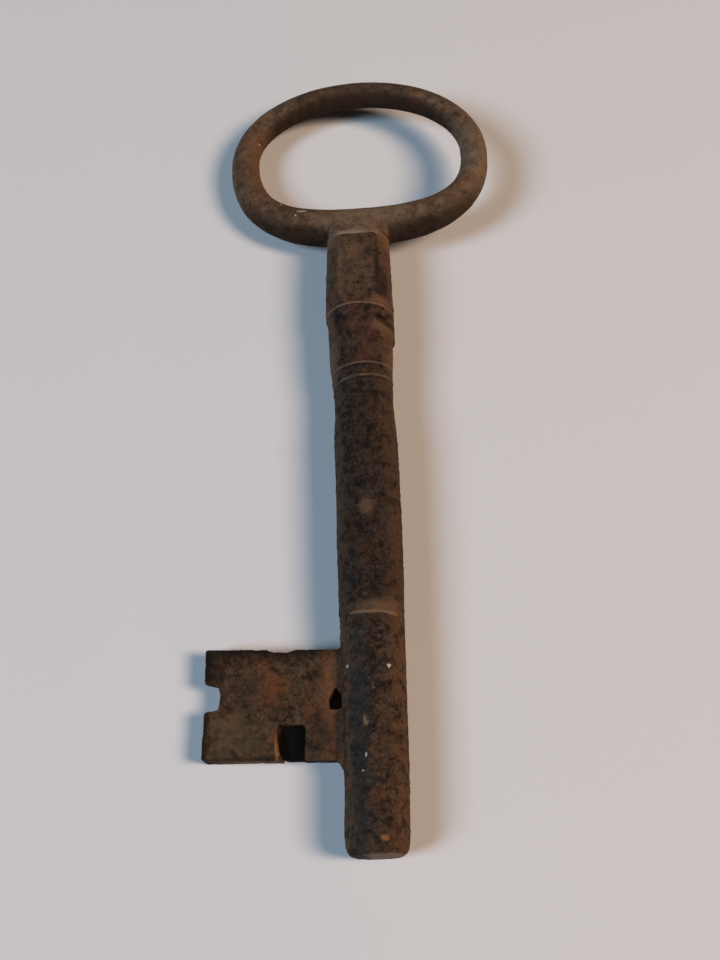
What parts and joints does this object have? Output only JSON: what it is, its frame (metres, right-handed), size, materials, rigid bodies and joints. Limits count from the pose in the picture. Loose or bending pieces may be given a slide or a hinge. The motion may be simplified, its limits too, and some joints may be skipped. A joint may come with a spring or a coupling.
{
  "type": "door key",
  "caption": "Old iron door key with an oval bow, flattened neck, collar, round bellied stem and a wedge-shaped bit with ward cuts.",
  "frame": {"origin": "on the key's axis at the shoulder of the pin, 1.8 mm in front of the bit", "axes": "+Y along the axis towards the bow, -X along the bit, +Z out of the flat face that shows in the picture"},
  "size_m": [0.0471, 0.135, 0.011],
  "materials": {
    "bow_iron": "handled iron, smooth brown rust patina",
    "neck_iron": "brown rusted iron with darker pits",
    "stem_iron": "blackened pitted iron with orange rust on its flanks",
    "bit_iron": "pitted brown rusted iron, edges worn dark",
    "braze": "dull brazing under rust"
  },
  "bodies": {
    "root": {"bow": "bow_iron", "neck": "neck_iron", "collar": "neck_iron", "stem": "stem_iron", "pin_end": "stem_iron", "bit": "bit_iron", "bow_braze": "braze", "bit_braze": "braze"}
  },
  "joints": []
}
